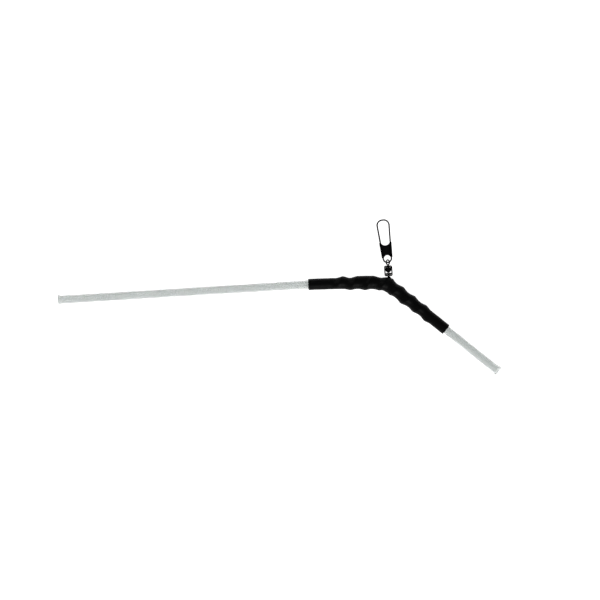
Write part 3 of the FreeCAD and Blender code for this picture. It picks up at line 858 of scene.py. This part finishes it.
# %% Plated and drawn metals
def metal(name, dark, light, worn, rim, roughness, stretch, scales, edges):
    """Metal with a clouded colour, grain in its gloss, and brighter polished edges.

    rim tints what it reflects at a glancing angle. On the plated parts it is near black, which is painted
    shade: it keeps their edges from reflecting the white floor.
    """
    material, tree, shader, grain = start_material(name, "object", stretch, *scales)
    shader.inputs["Metallic"].default_value = 1.0
    shader.inputs["Specular Tint"].default_value = (*rim, 1)
    clouded = mix_colour(tree, grain.outputs["Broad"], dark, light)
    wear = add(tree, "ShaderNodeGroup", node_tree=wear_group)
    wear.inputs["From"].default_value, wear.inputs["To"].default_value = edges
    tree.links.new(grain.outputs["Fine"], wear.inputs["Noise"])
    tree.links.new(mix_colour(tree, wear.outputs["Mask"], clouded, worn), shader.inputs["Base Color"])
    spread(tree, grain.outputs["Fine"], *roughness, shader.inputs["Roughness"])
    bump(tree, grain.outputs["Height"], shader, 0.2, 0.01)
    return material


def paint(thing, material):
    """Gives a piece or CAD node one material."""
    thing.data.materials.clear()
    thing.data.materials.append(material)


# The near-black rim colours of the three plated finishes below are painted shade on their glancing
# reflections.
black_nickel = metal(
    "black_nickel_plate", (0.008, 0.008, 0.0085), (0.022, 0.0215, 0.0215), (0.08, 0.077, 0.07),
    (0.03, 0.03, 0.03), (0.26, 0.42), (1, 1, 1), (450.0, 5000.0), (0.62, 0.80))
snap_black = metal(
    "snap_wire_plate", (0.006, 0.006, 0.0065), (0.014, 0.014, 0.0145), (0.05, 0.05, 0.05), (0.02, 0.02, 0.02),
    (0.30, 0.44), (1, 1, 1), (600.0, 6000.0), (0.75, 0.95))
plate_black = metal(
    "snap_sheet_plate", (0.008, 0.008, 0.0085), (0.018, 0.018, 0.019), (0.08, 0.08, 0.08), (0.02, 0.02, 0.02),
    (0.36, 0.54), (1, 0.12, 1), (900.0, 5000.0), (0.62, 0.80))
spring_steel = metal(
    "spring_steel", (0.35, 0.35, 0.35), (0.52, 0.52, 0.51), (0.70, 0.70, 0.68), (0.9, 0.9, 0.9),
    (0.26, 0.42), (1, 1, 1), (500.0, 5000.0), (0.56, 0.68))
paint(clear_tube, clear_plastic())
paint(sleeve, shrunk_plastic())
for thing in (barrel, lower_eye, upper_eye):
    paint(thing, black_nickel)
for thing in (snap_wire, snap_gate):
    paint(thing, snap_black)
paint(plate, plate_black)
paint(frame["nodes"]["anchor_wire"], spring_steel)

# %% [markdown]
# ## Floor, light and camera
#
# A small dark and clear object shows best on a white sweep with broad soft light. The camera looks
# straight down through a long lens, turned a little, so the long arm climbs slightly to the right.

# %% Floor
# The floor glows like a light table, so it stays white under the object.
FLOOR_HALF = 1500.0
floor_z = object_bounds()[0].z / MM
grid = np.linspace(-FLOOR_HALF, FLOOR_HALF, 9)
floor_x, floor_y = np.meshgrid(grid, grid, indexing="ij")
floor_points = np.stack([floor_x, floor_y, floor_z + 0 * floor_x], axis=-1)
floor = piece("floor", [surface("floor", floor_points, columns_close=False)])
light_table = bpy.data.materials.new("light_table")
light_table.use_nodes = True
glow = light_table.node_tree.nodes["Principled BSDF"]
glow.inputs["Base Color"].default_value = (0.8, 0.8, 0.8, 1)
glow.inputs["Roughness"].default_value = 0.9
glow.inputs["Specular IOR Level"].default_value = 0.1
glow.inputs["Emission Color"].default_value = (1.0, 1.0, 1.0, 1)
glow.inputs["Emission Strength"].default_value = 0.97
paint(floor, light_table)

# %% Light
WORLD_LIGHT = 0.16
world = bpy.data.worlds.new("studio")
world.use_nodes = True
world.node_tree.nodes["Background"].inputs["Color"].default_value = (1.0, 1.0, 1.0, 1)
world.node_tree.nodes["Background"].inputs["Strength"].default_value = WORLD_LIGHT
bpy.context.scene.world = world


def soft_lamp(name, place, width, power):
    """Round area lamp at a place in millimetres, aimed at the elbow."""
    lamp = bpy.data.lights.new(name, "AREA")
    lamp.shape, lamp.size, lamp.energy = "DISK", width * MM, power
    lamp_object = bpy.data.objects.new(name, lamp)
    lamp_object.location = [c * MM for c in place]
    lamp_object.rotation_euler = (-lamp_object.location).to_track_quat("-Z", "Y").to_euler()
    bpy.context.scene.collection.objects.link(lamp_object)


soft_lamp("key", (300, -900, 700), 500, 7.0)
soft_lamp("fill", (-700, 600, 600), 500, 2.5)
bpy.context.scene.view_settings.view_transform = "Standard"

# %% Camera
VIEW_WIDTH = 254.5
VIEW_CENTRE = (1.77, -6.37)
ROLL = math.radians(3.53)
camera_data = bpy.data.cameras.new("camera")
camera_data.lens = 200
distance = VIEW_WIDTH / 2 / math.tan(math.atan(camera_data.sensor_width / 2 / camera_data.lens))
camera = bpy.data.objects.new("camera", camera_data)
camera.location = (VIEW_CENTRE[0] * MM, VIEW_CENTRE[1] * MM, distance * MM)
camera.rotation_euler = (0, 0, -ROLL)
camera_data.clip_start, camera_data.clip_end = 0.01, 20
bpy.context.scene.collection.objects.link(camera)
bpy.context.scene.camera = camera
